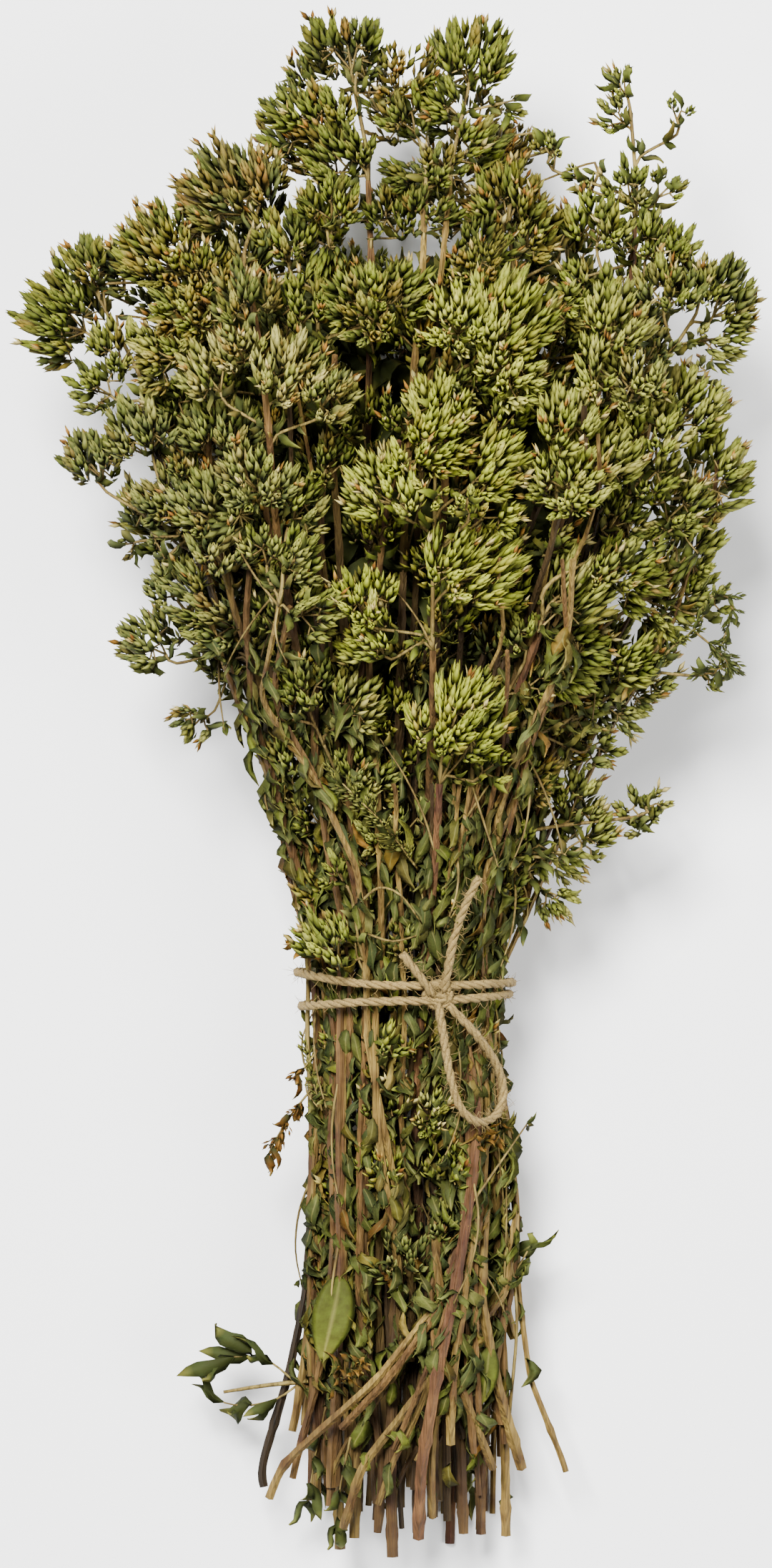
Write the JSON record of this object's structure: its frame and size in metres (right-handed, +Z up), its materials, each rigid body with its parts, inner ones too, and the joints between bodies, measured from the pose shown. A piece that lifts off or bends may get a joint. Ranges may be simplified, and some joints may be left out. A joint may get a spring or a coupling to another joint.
{
  "type": "dried herb bundle",
  "caption": "Bundle of dried oregano lying down: flowering stems with leaves and dense flower heads, tied round the waist with a bow of jute twine.",
  "frame": {"origin": "on the surface the bundle lies on, under the middle of its box", "axes": "+Y along the bundle from the cut ends to the flower heads, +Z up from the surface, +X to the right when the bundle is seen from above with its flower heads up"},
  "size_m": [0.2129, 0.4369, 0.1374],
  "materials": {
    "stem_wood": "dry woody stem, tan to red-brown, fine lengthwise grain, matte",
    "flower_bracts": "papery dried bracts, yellow-green to olive, matte",
    "jute": "natural twisted jute, pale tan, hairy, matte"
  },
  "bodies": {
    "root": {"flower_top_01": "flower_bracts", "flower_top_02": "flower_bracts", "flower_top_03": "flower_bracts", "flower_top_04": "flower_bracts", "flower_top_05": "flower_bracts", "flower_top_06": "flower_bracts", "flower_top_07": "flower_bracts", "flower_top_08": "flower_bracts", "flower_top_09": "flower_bracts", "flower_top_10": "flower_bracts", "flower_top_11": "flower_bracts", "flower_top_12": "flower_bracts", "flower_top_13": "flower_bracts", "flower_top_14": "flower_bracts", "flower_top_15": "flower_bracts", "flower_top_16": "flower_bracts", "flower_top_17": "flower_bracts", "flower_top_18": "flower_bracts", "flower_top_19": "flower_bracts", "flower_top_20": "flower_bracts", "flower_top_21": "flower_bracts", "flower_top_22": "flower_bracts", "flower_top_23": "flower_bracts", "flower_top_24": "flower_bracts", "flower_top_25": "flower_bracts", "flower_top_26": "flower_bracts", "flower_top_27": "flower_bracts", "flower_top_28": "flower_bracts", "flower_top_29": "flower_bracts", "flower_top_30": "flower_bracts", "flower_top_31": "flower_bracts", "flower_top_32": "flower_bracts", "flower_top_33": "flower_bracts", "flower_top_34": "flower_bracts", "flower_top_35": "flower_bracts", "stem_01": "stem_wood", "stem_02": "stem_wood", "stem_03": "stem_wood", "stem_04": "stem_wood", "stem_05": "stem_wood", "stem_06": "stem_wood", "stem_07": "stem_wood", "stem_08": "stem_wood", "stem_09": "stem_wood", "stem_10": "stem_wood", "stem_11": "stem_wood", "stem_12": "stem_wood", "stem_13": "stem_wood", "stem_14": "stem_wood", "stem_15": "stem_wood", "stem_16": "stem_wood", "stem_17": "stem_wood", "stem_18": "stem_wood", "stem_19": "stem_wood", "stem_20": "stem_wood", "stem_21": "stem_wood", "stem_22": "stem_wood", "stem_23": "stem_wood", "stem_24": "stem_wood", "twine": "jute"}
  },
  "joints": []
}
